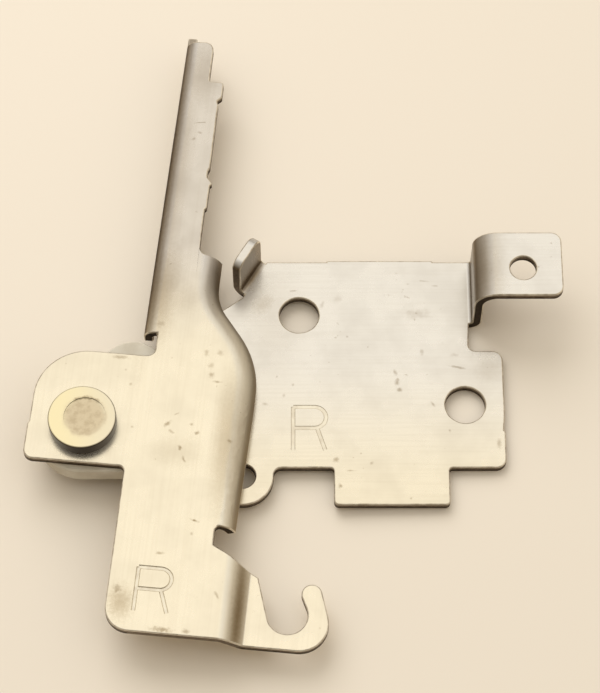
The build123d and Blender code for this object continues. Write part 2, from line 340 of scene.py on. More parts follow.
@dataclass(frozen=True)
class SheetSteel:
    """Bright-rolled sheet: satin, with clouds, faint rolling lines, specks, placed dull marks and
    painted shade.

    A span is where a ramp starts and stops. The spans of bends read 1 on a level face and 0 on an
    upright one.
    """

    name: str
    # near and far: the sheet's own tone and a painted reflection of the room, from near_y to far_y
    # along Y
    near: Colour
    far: Colour
    near_y: float
    far_y: float
    grain_turn: float
    cloud_near: float
    cloud_far: float
    scuffs_and_shade: tuple[Mark, ...] = ()
    shade_zones: tuple[Mark, ...] = ()
    cloud: Colour = shade(200, 192, 180)
    cloud_scale: float = 110.0
    cloud_span: Span = (0.38, 0.68)
    streak: Colour = shade(206, 196, 182)
    streak_size: Triple = (0.5 * MM, 20.0 * MM, 20.0 * MM)
    streak_span: Span = (0.35, 0.75)
    streak_cover: float = 0.08
    # Colour of the patches of painted shade.
    zone_shade: Colour = shade(203, 194, 181)
    # Colour of the specks, the worn spots and the marks of painted shade.
    scuff_and_shade: Colour = shade(188, 174, 152)
    scuff_rough: float = 0.2
    rim_scale: float = 1400.0
    speck_scale: float = 900.0
    speck_span: Span = (0.66, 0.74)
    speck_cover: float = 0.4
    speck_area_scale: float = 120.0
    speck_area_span: Span = (0.5, 0.62)
    # Painted shade: the steep faces of the bends are darkened towards this colour.
    bend: Colour = shade(148, 133, 110)
    bend_shade_span: Span = (0.8, 0.35)
    bend_rough: float = 0.24
    bend_rough_rise: Span = (0.995, 0.8)
    bend_rough_fall: Span = (0.25, 0.5)
    rough_span: Span = (0.2, 0.8)
    rough_low: float = 0.24
    rough_high: float = 0.33
    grain_scale: float = 2600.0
    grain_depth: float = 0.02 * MM
    grain_share: float = 0.12

    def material(self) -> bpy.types.Material:
        """Make the finish.

        Returns:
            The material.
        """
        material, graph, shader = new_material(self.name)
        place = graph.place()
        cloud = graph.noise(place, self.cloud_scale, 4.0, 0.6)
        scuffed_and_shaded = self.cover_of(graph, place, self.scuffs_and_shade)
        dull = graph.join("MAXIMUM", self.specks(graph, place), scuffed_and_shaded)
        graph.feed(shader.inputs["Base Color"], self.colour(graph, place, cloud, dull))
        shader.inputs["Metallic"].default_value = 1.0
        graph.feed(shader.inputs["Roughness"], self.roughness(graph, cloud, dull))
        grain = graph.noise(place, self.grain_scale)
        graph.feed(shader.inputs["Normal"], graph.bump(grain, self.grain_depth, self.grain_share))
        return material

    def colour(
        self,
        graph: NodeGraph,
        place: Socket,
        cloud: Socket,
        dull: Socket,
    ) -> Socket:
        """Shift the colour from near to far, lay clouds, rolling lines, patches of painted shade
        and dull spots on the sheet, and paint shade on its bends.

        Args:
            graph: Graph of the finish.
            place: The piece's own coordinates.
            cloud: Noise of the clouds.
            dull: Cover of the specks, the worn spots and the marks of painted shade.

        Returns:
            The colour.
        """
        # Painted reflection: the colour shifts from near to far along Y, partly as the sheet's own
        # tone and partly as the room's light on it.
        tone_and_light_fade = graph.ramp(graph.axis(place, "Y"), self.near_y * MM, self.far_y * MM)
        depth = graph.ramp(tone_and_light_fade, 0.0, 1.0, self.cloud_near, self.cloud_far)
        cloudy = graph.join("MULTIPLY", graph.ramp(cloud, *self.cloud_span), depth)
        along = graph.mapped(place, turn=self.grain_turn, size=self.streak_size)
        streaky = graph.ramp(graph.noise(along, 1.0), *self.streak_span, 0.0, self.streak_cover)
        layers = (
            (cloudy, self.cloud),
            (streaky, self.streak),
            # patches of painted shade
            (self.cover_of(graph, place, self.shade_zones), self.zone_shade),
            (dull, self.scuff_and_shade),
            # painted shade on the steep faces of the bends
            (graph.ramp(graph.steepness(), *self.bend_shade_span), self.bend),
        )
        colour = graph.mix(tone_and_light_fade, self.near, self.far)
        for share, over in layers:
            colour = graph.mix(share, colour, over, Blend.MULTIPLY)
        return colour

    def roughness(
        self, graph: NodeGraph, cloud: Socket, dull: Socket
    ) -> Socket:
        """Make the dull spots, the marks of painted shade and the rounded bends rougher than the
        flat sheet.

        Args:
            graph: Graph of the finish.
            cloud: Noise of the clouds.
            dull: Cover of the specks, the worn spots and the marks of painted shade.

        Returns:
            The roughness.
        """
        rough = graph.ramp(cloud, *self.rough_span, self.rough_low, self.rough_high)
        worn = graph.join("MULTIPLY", dull, self.scuff_rough)
        rise = graph.ramp(graph.steepness(), *self.bend_rough_rise)
        fall = graph.ramp(graph.steepness(), *self.bend_rough_fall)
        bent = graph.join("MULTIPLY", graph.join("MULTIPLY", rise, fall), self.bend_rough)
        return graph.join("ADD", rough, graph.join("ADD", worn, bent))

    def specks(self, graph: NodeGraph, place: Socket) -> Socket:
        """Scatter small specks over a few areas of the sheet.

        Args:
            graph: Graph of the finish.
            place: The piece's own coordinates.

        Returns:
            Cover of the specks, from 0 to 1.
        """
        grit = graph.noise(place, self.speck_scale, 3.0, 0.6)
        area = graph.noise(place, self.speck_area_scale)
        speck = graph.ramp(grit, *self.speck_span, 0.0, self.speck_cover)
        return graph.join("MULTIPLY", speck, graph.ramp(area, *self.speck_area_span))

    def cover_of(
        self, graph: NodeGraph, place: Socket, marks: tuple[Mark, ...]
    ) -> Socket:
        """Gather placed marks into one cover.

        Args:
            graph: Graph of the finish.
            place: The piece's own coordinates.
            marks: Marks of one kind.

        Returns:
            Cover of the marks, from 0 to 1.
        """
        rim = graph.noise(place, self.rim_scale, 3.0, 0.65)
        cover = graph.ramp(rim, 0.99, 1.0)
        for mark in marks:
            own = graph.mapped(place, mark.centre, mark.turn, mark.size(), mark.level)
            torn = graph.join("ADD", graph.length(own), graph.join("MULTIPLY", rim, mark.ragged))
            middle = mark.ragged / 2
            share = graph.ramp(torn, middle + 1.0, middle, 0.0, mark.cover)
            cover = graph.join("MAXIMUM", cover, share)
        return cover


@dataclass(frozen=True)
class RolledEdge:
    """Edge that the press rolled over: the same sheet, drawn smooth and bright."""

    name: str
    light: Colour = shade(226, 217, 200)
    dark: Colour = shade(194, 183, 165)
    wear_scale: float = 420.0
    wear_span: Span = (0.4, 0.65)
    rough_span: Span = (0.3, 0.7)
    rough_low: float = 0.36
    rough_high: float = 0.46

    def material(self) -> bpy.types.Material:
        """Make the finish.

        Returns:
            The material.
        """
        material, graph, shader = new_material(self.name)
        wear = graph.noise(graph.place(), self.wear_scale, 3.0, 0.6)
        colour = graph.mix(graph.ramp(wear, *self.wear_span), self.light, self.dark)
        graph.feed(shader.inputs["Base Color"], colour)
        shader.inputs["Metallic"].default_value = 1.0
        rough = graph.ramp(wear, *self.rough_span, self.rough_low, self.rough_high)
        graph.feed(shader.inputs["Roughness"], rough)
        return material


@dataclass(frozen=True)
class CutEdge:
    """Sheared edge of a sheet: a brown torn band below a lighter burnished one."""

    name: str
    low: float
    torn: Colour = shade(74, 62, 49)
    torn_rough: float = 0.62
    burnished: Colour = shade(128, 114, 97)
    burnished_rough: float = 0.45
    band_span: Span = (0.62, 0.86)
    wander_scale: float = 500.0
    wander_share: float = 0.5
    grit: Colour = shade(126, 116, 104)
    grit_scale: float = 2200.0
    grit_span: Span = (0.35, 0.7)
    grit_cover: float = 0.5
    grit_depth: float = 0.06 * MM
    grit_share: float = 0.35

    def material(self) -> bpy.types.Material:
        """Make the finish.

        Returns:
            The material.
        """
        material, graph, shader = new_material(self.name)
        place = graph.place()
        rise = graph.ramp(graph.axis(place, "Z"), self.low * MM, (self.low + SHEET) * MM)
        noise = graph.noise(place, self.wander_scale, 3.0)
        wander = graph.join("MULTIPLY", noise, self.wander_share)
        band = graph.ramp(graph.join("ADD", rise, wander), *self.band_span)
        grit = graph.noise(place, self.grit_scale, 3.0, 0.6)
        colour = graph.mix(band, self.torn, self.burnished)
        gritty = graph.ramp(grit, *self.grit_span, 0.0, self.grit_cover)
        colour = graph.mix(gritty, colour, self.grit, Blend.MULTIPLY)
        graph.feed(shader.inputs["Base Color"], colour)
        shader.inputs["Metallic"].default_value = 1.0
        rough = graph.ramp(band, 0.0, 1.0, self.torn_rough, self.burnished_rough)
        graph.feed(shader.inputs["Roughness"], rough)
        graph.feed(shader.inputs["Normal"], graph.bump(grit, self.grit_depth, self.grit_share))
        return material


@dataclass(frozen=True)
class RivetSteel:
    """Plated rivet: a bright rim round a dull and ragged pressed disc; painted light makes the rim
    yellower on the left.

    The sides carry painted shade, and a dark line shows along the disc's upper rim. Lengths are in
    millimetres from the disc's centre.
    """

    name: str = "rivet_plating"
    disc: Colour = shade(231, 217, 189)
    disc_centre: Point = (0.6, 0.0)
    disc_radius: float = 4.3
    disc_rim: Span = (2.1, 0.2)
    disc_rough: float = 0.55
    ragged_scale: float = 620.0
    ragged_reach: float = 2.2
    rim_left_painted_light: Colour = shade(237, 226, 189)
    rim_right_painted_light: Colour = shade(228, 219, 196)
    rim_light_span: Span = (-6.0, 6.0)
    rim_rough: float = 0.28
    pit: Colour = shade(212, 204, 190)
    pit_scale: float = 900.0
    pit_span: Span = (0.38, 0.72)
    pit_cover: float = 0.45
    pit_depth: float = 0.04 * MM
    pit_share: float = 0.2
    line: Colour = shade(168, 156, 134)
    line_reach: float = 1.1
    line_span: Span = (0.55, 0.05)
    line_height: Span = (2.6, 4.0)
    line_cover: float = 0.6
    # Painted shade: the steep sides of the head are darkened to this colour.
    side: Colour = shade(50, 40, 31)
    side_shade_span: Span = (0.9, 0.4)

    def material(self) -> bpy.types.Material:
        """Make the finish.

        Returns:
            The material.
        """
        material, graph, shader = new_material(self.name)
        place = graph.place()
        own = graph.mapped(place, self.disc_centre, 0.0, (MM, MM, 1.0))
        noise = graph.noise(place, self.ragged_scale, 4.0, 0.7)
        ragged = graph.join("MULTIPLY", noise, self.ragged_reach)
        torn = graph.join("ADD", graph.length(own), ragged)
        inside = graph.ramp(torn, *(self.disc_radius + reach for reach in self.disc_rim))
        # Painted light: the rim turns from yellower on the left to greyer on the right.
        light_across = graph.ramp(graph.axis(own, "X"), *self.rim_light_span)
        rim = graph.mix(light_across, self.rim_left_painted_light, self.rim_right_painted_light)
        pit = graph.noise(place, self.pit_scale, 4.0, 0.6)
        pitted = graph.ramp(pit, *self.pit_span, 0.0, self.pit_cover)
        pitted = graph.join("MULTIPLY", pitted, inside)
        colour = graph.mix(inside, rim, self.disc)
        colour = graph.mix(pitted, colour, self.pit, Blend.MULTIPLY)
        lined = self.line_share(graph, own, torn)
        colour = graph.mix(lined, colour, self.line, Blend.MULTIPLY)
        # painted shade on the steep sides of the head
        colour = graph.mix(graph.ramp(graph.steepness(), *self.side_shade_span), colour, self.side)
        graph.feed(shader.inputs["Base Color"], colour)
        shader.inputs["Metallic"].default_value = 1.0
        rough = graph.ramp(inside, 0.0, 1.0, self.rim_rough, self.disc_rough)
        graph.feed(shader.inputs["Roughness"], rough)
        graph.feed(shader.inputs["Normal"], graph.bump(pit, self.pit_depth, self.pit_share))
        return material

    def line_share(
        self, graph: NodeGraph, own: Socket, torn: Socket
    ) -> Socket:
        """Draw a dark line along the disc's upper rim.

        Args:
            graph: Graph of the finish.
            own: Coordinates from the disc's centre, in millimetres.
            torn: Ragged distance from that centre.

        Returns:
            Cover of the line, from 0 to 1.
        """
        away = graph.join("SUBTRACT", torn, self.disc_radius + self.line_reach)
        line = graph.ramp(graph.join("ABSOLUTE", away, 0.0), *self.line_span)
        upper = graph.ramp(graph.axis(own, "Y"), *self.line_height, 0.0, self.line_cover)
        return graph.join("MULTIPLY", line, upper)


@dataclass(frozen=True)
class NaturalNylon:
    """Unpainted nylon: a milky off-white with a slight mottle and a fine moulded grain."""

    name: str = "natural_nylon"
    light: Colour = shade(220, 213, 197)
    dark: Colour = shade(201, 192, 174)
    mottle_scale: float = 180.0
    mottle_span: Span = (0.3, 0.7)
    rough_span: Span = (0.2, 0.8)
    rough_low: float = 0.42
    rough_high: float = 0.55
    specular: float = 0.4
    grain_scale: float = 3200.0
    grain_depth: float = 0.03 * MM
    grain_share: float = 0.2

    def material(self) -> bpy.types.Material:
        """Make the finish.

        Returns:
            The material.
        """
        material, graph, shader = new_material(self.name)
        place = graph.place()
        mottle = graph.noise(place, self.mottle_scale, 3.0)
        colour = graph.mix(graph.ramp(mottle, *self.mottle_span), self.light, self.dark)
        graph.feed(shader.inputs["Base Color"], colour)
        rough = graph.ramp(mottle, *self.rough_span, self.rough_low, self.rough_high)
        graph.feed(shader.inputs["Roughness"], rough)
        shader.inputs["Specular IOR Level"].default_value = self.specular
        grain = graph.noise(place, self.grain_scale)
        graph.feed(shader.inputs["Normal"], graph.bump(grain, self.grain_depth, self.grain_share))
        return material


@dataclass(frozen=True)
class TablePaper:
    """Plain cream table: matt, with hardly any mottle, and painted light that makes it a little
    paler towards one corner.
    """

    name: str = "cream_table"
    light: Colour = shade(244, 234, 219)
    dark: Colour = shade(238, 228, 213)
    corner: Point = (-60.0, 140.0)
    spread: float = 260.0 * MM
    light_falloff_span: Span = (0.1, 1.1)
    mottle_scale: float = 6.0
    mottle_share: float = 0.2
    rough_span: Span = (0.2, 0.8)
    rough_low: float = 0.8
    rough_high: float = 0.9
    specular: float = 0.1

    def material(self) -> bpy.types.Material:
        """Make the finish.

        Returns:
            The material.
        """
        material, graph, shader = new_material(self.name)
        place = graph.place()
        mottle = graph.noise(place, self.mottle_scale)
        # Painted light: the table pales towards the corner, as the light falls.
        own = graph.mapped(place, self.corner, 0.0, (self.spread, self.spread, 1.0))
        mottled = graph.join("MULTIPLY", mottle, self.mottle_share)
        light_falloff = graph.ramp(graph.join("ADD", graph.length(own), mottled), *self.light_falloff_span)
        graph.feed(shader.inputs["Base Color"], graph.mix(light_falloff, self.light, self.dark))
        rough = graph.ramp(mottle, *self.rough_span, self.rough_low, self.rough_high)
        graph.feed(shader.inputs["Roughness"], rough)
        shader.inputs["Specular IOR Level"].default_value = self.specular
        return material


def select_only(piece: bpy.types.Object) -> None:
    """Deselect everything, then select one piece and make it active.

    Args:
        piece: Piece to be selected.
    """
    bpy.ops.object.select_all(action="DESELECT")
    piece.select_set(True)
    bpy.context.view_layer.objects.active = piece


def apply_modifier(piece: bpy.types.Object, modifier: bpy.types.Modifier) -> None:
    """Apply one modifier of a piece."""
    select_only(piece)
    bpy.ops.object.modifier_apply(modifier=modifier.name)


def pick_faces(piece: bpy.types.Object, wanted: Vector, least: float = 0.9) -> None:
    """Select, in object mode, only the faces that look one way.

    Args:
        piece: Piece whose faces are selected.
        wanted: Direction that the faces look in.
        least: Least cosine between the face and the direction.
    """
    mesh = piece.data
    for group in (mesh.vertices, mesh.edges, mesh.polygons):
        for part in group:
            part.select = False
    for face in mesh.polygons:
        face.select = face.normal.dot(wanted) > least


@dataclass(frozen=True)
class HandMark:
    """Stamped letter that tells the right-hand hinge from the left-hand one.

    The foot is where the stem's middle line ends. All strokes have sloping walls and a flat floor.
    """

    foot: Point
    turn: float
    height: float
    bowl: float
    depth: float
    width: float = 7.35
    stroke: float = 0.9
    wall: float = 0.18
    rise: float = 0.1
    leg_start: float = 5.0
    leg_end: float = 6.7
    bowl_steps: int = 14

    def cutters(self, top: float) -> list[bpy.types.Object]:
        """Model the strokes that are cut into a sheet.

        Args:
            top: Height of the sheet's upper face.

        Returns:
            The stem, the bowl and the leg.
        """
        strokes = [self.stem(), self.round_bowl(), self.leg()]
        for stroke in strokes:
            select_only(stroke)
            stroke.matrix_world = (
                Matrix.Translation((self.foot[0] * MM, self.foot[1] * MM, top * MM))
                @ Matrix.Rotation(math.radians(self.turn), 4, "Z")
                @ stroke.matrix_world
            )
            bpy.ops.object.transform_apply(location=True, rotation=True, scale=True)
        return strokes

    def holds(self, place: Vector) -> bool:
        """Tell whether a place, in millimetres, lies over or under the letter.

        Args:
            place: The place.

        Returns:
            True within the letter's own box.
        """
        away = place - Vector((*self.foot, place.z))
        own = Matrix.Rotation(math.radians(-self.turn), 3, "Z") @ away
        level = -self.stroke < own.x < self.width + self.stroke
        return level and -self.stroke < own.y < self.height + self.stroke

    def bar(self, start: Point, stop: Point) -> bpy.types.Object:
        """Model a straight stroke, wider at the sheet's face than at its floor.

        Args:
            start: Middle of the first end, from the foot.
            stop: Middle of the last end, from the foot.

        Returns:
            The stroke, along X in its own mesh, with its place in its matrix.
        """
        run = math.hypot(stop[0] - start[0], stop[1] - start[1])
        tall = self.depth + self.rise
        floor = self.stroke - 2 * self.wall
        mouth = floor + 2 * self.wall * tall / self.depth
        bpy.ops.object.select_all(action="DESELECT")
        bpy.ops.mesh.primitive_cube_add(size=MM)
        stroke = bpy.context.object
        stroke.scale = (run, mouth, tall)
        stroke.location = (run * MM / 2, 0.0, (self.rise - self.depth) * MM / 2)
        bpy.ops.object.transform_apply(location=True, rotation=True, scale=True)
        pick_faces(stroke, Vector((0.0, 0.0, -1.0)))
        bpy.ops.object.mode_set(mode="EDIT")
        bpy.ops.transform.resize(
            value=(1.0, floor / mouth, 1.0), center_override=(run * MM / 2, 0.0, -self.depth * MM)
        )
        bpy.ops.object.mode_set(mode="OBJECT")
        heading = math.atan2(stop[1] - start[1], stop[0] - start[0])
        stroke.matrix_world = Matrix.Translation(
            (start[0] * MM, start[1] * MM, 0.0)
        ) @ Matrix.Rotation(heading, 4, "Z")
        return stroke

    def stem(self) -> bpy.types.Object:
        """Model the upright stroke."""
        return self.bar((0.0, 0.0), (0.0, self.height))

    def leg(self) -> bpy.types.Object:
        """Model the slanted stroke from the bowl to the letter's right foot."""
        return self.bar((self.leg_start, self.height - self.bowl), (self.leg_end, 0.0))

    def round_bowl(self) -> bpy.types.Object:
        """Model the bowl: a bar, half a turn, and a bar back to the stem.

        Returns:
            The stroke.
        """
        radius = self.bowl / 2
        straight = self.width - self.stroke / 2 - radius
        bowl = self.bar((0.0, self.height), (straight, self.height))
        bpy.ops.object.transform_apply(location=True, rotation=True, scale=True)
        pick_faces(bowl, Vector((1.0, 0.0, 0.0)))
        bpy.ops.object.mode_set(mode="EDIT")
        bpy.ops.mesh.spin(
            steps=self.bowl_steps,
            angle=math.pi,
            center=(straight * MM, (self.height - radius) * MM, 0.0),
            axis=(0.0, 0.0, 1.0),
        )
        back = {"value": (-straight * MM, 0.0, 0.0)}
        bpy.ops.mesh.extrude_region_move(TRANSFORM_OT_translate=back)
        bpy.ops.mesh.select_all(action="SELECT")
        bpy.ops.mesh.remove_doubles(threshold=WELD)
        bpy.ops.mesh.normals_make_consistent(inside=False)
        bpy.ops.object.mode_set(mode="OBJECT")
        return bowl


@dataclass
class DressedPart:
    """A merged copy of one solid that stands for it and carries its finish."""

    node: str
    piece_name: str
    body: Body
    slot: Slot
    finish: object
    merge: float = WELD
    smooth: float = 32.0
    flat_angle: float = 0.4
    piece: bpy.types.Object | None = field(default=None, init=False)

    def build(self) -> bpy.types.Object:
        """Copy the solid, shape it and dress it.

        Returns:
            The finished piece.
        """
        self.piece = self.merged_copy()
        self.dress()
        self.shape()
        self.smooth_shading()
        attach(self.piece, self.body.value)
        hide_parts(self.node)
        LOG.info("%s: %d faces", self.piece_name, len(self.piece.data.polygons))
        return self.piece

    def merged_copy(self) -> bpy.types.Object:
        """Copy the solid's mesh, join its loose triangles and clear its flats of needless edges.

        Returns:
            The copy.
        """
        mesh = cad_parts[self.node].data.copy()
        mesh.name = self.piece_name
        piece = bpy.data.objects.new(self.piece_name, mesh)
        bpy.context.scene.collection.objects.link(piece)
        select_only(piece)
        if mesh.has_custom_normals:
            bpy.ops.mesh.customdata_custom_splitnormals_clear()
        bpy.ops.object.mode_set(mode="EDIT")
        bpy.ops.mesh.select_all(action="SELECT")
        bpy.ops.mesh.remove_doubles(threshold=self.merge)
        bpy.ops.mesh.dissolve_limited(angle_limit=math.radians(self.flat_angle))
        bpy.ops.object.mode_set(mode="OBJECT")
        return piece

    def shape(self) -> None:
        """Leave the solid's form as it is."""

    def dress(self) -> None:
        """Give the whole piece its finish."""
        self.piece.data.materials.clear()
        self.piece.data.materials.append(self.finish.material())

    def smooth_shading(self) -> None:
        """Round the shading over the small facets and keep the flats flat."""
        select_only(self.piece)
        bpy.ops.object.shade_smooth_by_angle(angle=math.radians(self.smooth))
        even = self.piece.modifiers.new("even_normals", "WEIGHTED_NORMAL")
        even.mode = "FACE_AREA"
        even.weight = 100
        even.keep_sharp = True
        apply_modifier(self.piece, even)


@dataclass
class Pressing(DressedPart):
    """A blanked and bent sheet: rolled edges, a stamped hand mark and sheared edges."""

    mark: HandMark | None = None
    mark_level: float = 0.0
    edge_levels: tuple[float, ...] = ()
    stamp_light: Colour = shade(237, 230, 214)
    stamp_dark: Colour = shade(230, 221, 204)
    merge: float = 0.0001
    edge_roll: float = 0.28
    edge_steps: int = 3
    edge_angle: float = 50.0
    upright: float = 0.3
    sunk_least: float = 0.005
    sunk_over: float = 0.01

    def shape(self) -> None:
        """Tell the sheared edges from the sheet, stamp the mark, then roll the edges."""
        for face in self.piece.data.polygons:
            face.material_index = self.edge_index(face.center / MM, face.normal)
        self.stamp()
        self.weigh_edges()
        self.roll_edges()

    def stamp(self) -> None:
        """Cut the mark's strokes and give the sunk faces the stamp's finish."""
        for stroke in self.mark.cutters(self.mark_level):
            cut = self.piece.modifiers.new("stroke", "BOOLEAN")
            cut.operation = "DIFFERENCE"
            cut.solver = "EXACT"
            cut.object = stroke
            apply_modifier(self.piece, cut)
            bpy.data.objects.remove(stroke)
        for face in self.piece.data.polygons:
            place = face.center / MM
            deepest = self.mark.depth + self.sunk_over
            sunk = deepest > self.mark_level - place.z > self.sunk_least
            if sunk and self.mark.holds(place):
                face.material_index = len(self.edge_levels) + 2

    def roll_edges(self) -> None:
        """Round the weighted edges and give them the rolled edge's finish."""
        roll = self.piece.modifiers.new("edge_roll", "BEVEL")
        roll.limit_method = "WEIGHT"
        roll.width = self.edge_roll * MM
        roll.segments = self.edge_steps
        roll.use_clamp_overlap = False
        roll.material = len(self.edge_levels) + 1
        apply_modifier(self.piece, roll)

    def weigh_edges(self) -> None:
        """Give the sharp edges outside the mark the weight that the roll asks for."""
        mesh = self.piece.data
        sides: dict[tuple[int, int], list[Vector]] = {}
        for face in mesh.polygons:
            for key in face.edge_keys:
                sides.setdefault(key, []).append(face.normal)
        least = math.cos(math.radians(self.edge_angle))
        weights = mesh.attributes.new("bevel_weight_edge", "FLOAT", "EDGE")
        for edge in mesh.edges:
            first, last = (mesh.vertices[index].co for index in edge.vertices)
            normals = sides.get(edge.key, [])
            sharp = len(normals) == 2 and normals[0].dot(normals[1]) < least
            middle = (first + last) / 2 / MM
            rolled = sharp and not self.mark.holds(middle)
            weights.data[edge.index].value = self.roll_share(middle) if rolled else 0.0

    def roll_share(self, place: Vector) -> float:
        """Give the share of the full roll at a place, in millimetres."""
        return 1.0

    def dress(self) -> None:
        """Give the sheet, its sheared and rolled edges and the stamp their finishes."""
        super().dress()
        for level in self.edge_levels:
            edge = CutEdge(f"{self.piece_name}_edge_{level:.0f}", level)
            self.piece.data.materials.append(edge.material())
        self.piece.data.materials.append(RolledEdge(f"{self.piece_name}_roll").material())
        stamp = RolledEdge(f"{self.piece_name}_stamp", self.stamp_light, self.stamp_dark)
        self.piece.data.materials.append(stamp.material())

    def edge_index(self, place: Vector, normal: Vector) -> int:
        """Tell which material a face takes.

        Args:
            place: Centre of the face, in millimetres; not used here.
            normal: Way that the face looks; not used here.

        Returns:
            0 for the sheet; the lever and the plate give 1 and up for the sheared edges, in the
            order of their levels.
        """
        return 0


@dataclass
class HingeLever(Pressing):
    """The lever: its flats lie at two levels, and its lips run down two sides."""

    neck_left: float = 32.4
    neck_top: float = -24.0
    lip_ends: tuple[tuple[Point, float], ...] = (((24.2, 40.6), 3.5), ((26.6, 39.6), 2.2))
    lip_end_share: float = 0.2
    end_facing: float = 0.95

    def roll_share(self, place: Vector) -> float:
        """Roll the edge less where the right lip ends, because the bend runs out there."""
        near = any(math.dist(spot, place.xy) < reach for spot, reach in self.lip_ends)
        return self.lip_end_share if near else 1.0

    def edge_index(self, place: Vector, normal: Vector) -> int:
        """Find the sheared edges of the lever's two levels and of its lips' ends.

        Args:
            place: Centre of the face, in millimetres.
            normal: Way that the face looks.

        Returns:
            0 for the sheet, 1 for the upper level's edges and 2 for the hook's edges.
        """
        if abs(normal.z) > self.upright:
            return 0
        turn = Matrix.Rotation(math.radians(-LEVER_TURN), 3, "Z")
        own = turn @ place
        facing = turn @ normal
        if own.x > self.neck_left and own.y < self.neck_top:
            return 2
        if own.z > LEVER_LOW:
            return 1
        end_on = abs(facing.y) > self.end_facing and self.roll_share(place) == 1.0
        return 1 if end_on else 0


@dataclass
class MountingPlate(Pressing):
    """The plate: one flat, a stop tab that stands on a slant, and a raised screw tab."""

    tab_left: float = 80.0
    stop_right: float = 40.0
    stop_turn: float = 59.4
    stop_facing: float = 0.4
    tab_facing: float = 0.8

    def edge_index(self, place: Vector, normal: Vector) -> int:
        """Find the sheared edges of the plate and of its two tabs.

        Args:
            place: Centre of the face, in millimetres.
            normal: Way that the face looks.

        Returns:
            0 for the sheet, 1 for the plate's edges and 2 for the screw tab's edges.
        """
        sheared = abs(normal.z) < self.upright
        along = math.radians(self.stop_turn)
        end_on = abs(normal.x * math.cos(along) + normal.y * math.sin(along))
        if place.z > PLATE_LOW + SHEET and place.x < self.stop_right:
            return 1 if sheared and end_on > self.stop_facing else 0
        if place.x > self.tab_left and place.z > TAB_LOW:
            return 2 if sheared else 0
        if place.x > self.tab_left and place.z > PLATE_LOW + SHEET:
            return 2 if sheared and abs(normal.y) > self.tab_facing else 0
        return 1 if sheared else 0


